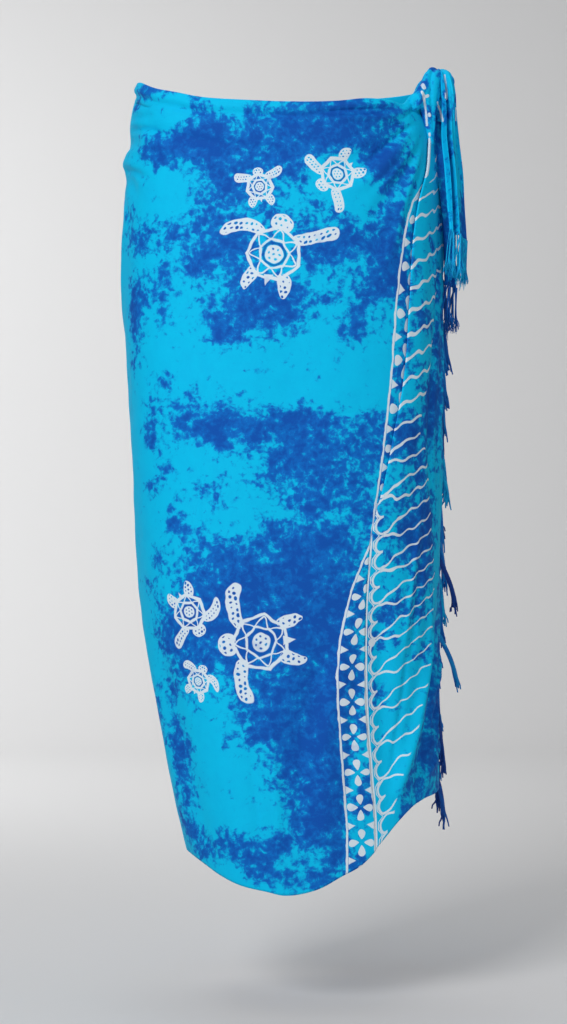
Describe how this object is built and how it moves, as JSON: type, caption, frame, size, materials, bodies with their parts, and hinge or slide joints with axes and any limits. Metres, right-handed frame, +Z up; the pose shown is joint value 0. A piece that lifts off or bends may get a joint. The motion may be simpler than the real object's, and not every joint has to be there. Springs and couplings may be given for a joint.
{
  "type": "sarong",
  "caption": "Ankle-length wrap sarong, worn: a tie-dyed cloth wound once round the waist, lapped over a pleated border and knotted at one hip, fringed down its outer end",
  "frame": {"origin": "centre of the waist opening, where the wearer holds the cloth up", "axes": "+Z up, the front faces -Y, the knot is on the +X side"},
  "size_m": [0.4024, 0.2626, 0.9198],
  "materials": {
    "dyed_cloth": "soft woven rayon, tie-dyed turquoise and royal blue",
    "border_cloth": "soft woven rayon, tie-dyed, with a white resist border",
    "fringe_yarn": "loosely twisted dyed yarn"
  },
  "bodies": {
    "root": {"front_wrap": "dyed_cloth", "border_panel": "border_cloth", "back_left": "dyed_cloth", "back_right": "dyed_cloth", "under_lap": "dyed_cloth", "knot": "border_cloth", "tail_outer": "border_cloth", "tail_inner": "border_cloth", "fringe_edge": "fringe_yarn", "fringe_tail_outer": "fringe_yarn", "fringe_tail_inner": "fringe_yarn"}
  },
  "joints": []
}
